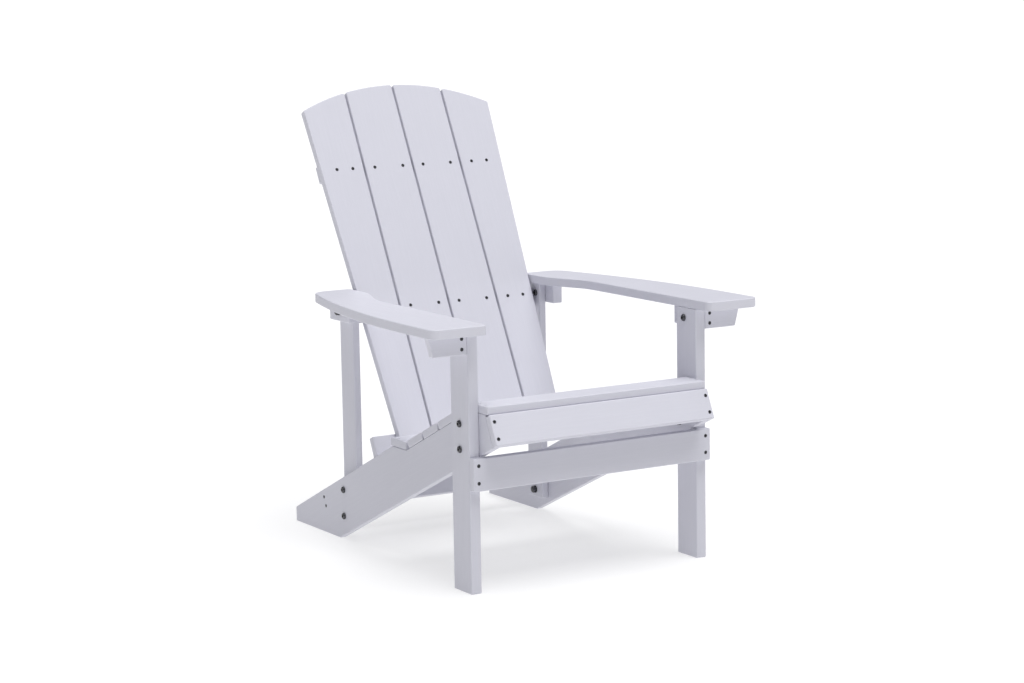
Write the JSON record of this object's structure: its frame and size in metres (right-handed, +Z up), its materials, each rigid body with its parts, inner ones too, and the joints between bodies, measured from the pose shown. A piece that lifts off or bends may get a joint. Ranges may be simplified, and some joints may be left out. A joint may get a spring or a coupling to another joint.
{
  "type": "adirondack chair",
  "caption": "Slatted garden armchair with a raked seat, a reclined fan-shaped back of wide slats and broad flat arms, built from white plastic-wood boards.",
  "frame": {"origin": "on the ground under the middle of the chair's bounding box", "axes": "+Z up, the sitter faces -Y, +X to the right-hand side as seen from the front; X = 0 is the mirror plane"},
  "size_m": [0.75, 0.8542, 0.9331],
  "materials": {
    "board": "embossed with a faint wood grain, eased edges",
    "bolt_steel": "satin",
    "screw_steel": "dark satin coating",
    "white_steel": "white coating that matches the boards"
  },
  "bodies": {
    "root": {"apron_screws": "screw_steel", "arm_screws": "screw_steel", "back_slat_1": "board", "back_slat_2": "board", "back_slat_3": "board", "back_slat_4": "board", "bracket_screws": "screw_steel", "front_apron": "board", "left_arm": "board", "left_arm_bracket": "board", "left_front_arm_block": "board", "left_leg": "board", "left_post": "board", "left_rear_arm_block": "board", "left_stringer": "board", "leg_block_bolts": "bolt_steel", "leg_block_nuts": "bolt_steel", "leg_block_washers": "bolt_steel", "leg_bolts": "bolt_steel", "leg_nuts": "bolt_steel", "leg_washers": "bolt_steel", "lower_back_rail": "board", "lower_back_screws": "screw_steel", "lower_rail_screws": "screw_steel", "nose_slat_screws": "screw_steel", "post_block_bolts": "bolt_steel", "post_block_nuts": "bolt_steel", "post_block_washers": "bolt_steel", "post_bolts": "bolt_steel", "post_nuts": "bolt_steel", "post_washers": "bolt_steel", "rear_stretcher": "board", "right_arm": "board", "right_arm_bracket": "board", "right_front_arm_block": "board", "right_leg": "board", "right_post": "board", "right_rear_arm_block": "board", "right_stringer": "board", "seat_back_rail": "board", "seat_back_rail_screws": "white_steel", "seat_nose_slat": "board", "seat_slat_1": "board", "seat_slat_2": "board", "seat_slat_3": "board", "seat_slat_4": "board", "seat_slat_5": "board", "seat_slat_6": "board", "seat_slat_screws": "white_steel", "stretcher_screws": "screw_steel", "upper_back_rail": "board", "upper_back_screws": "screw_steel"}
  },
  "joints": []
}
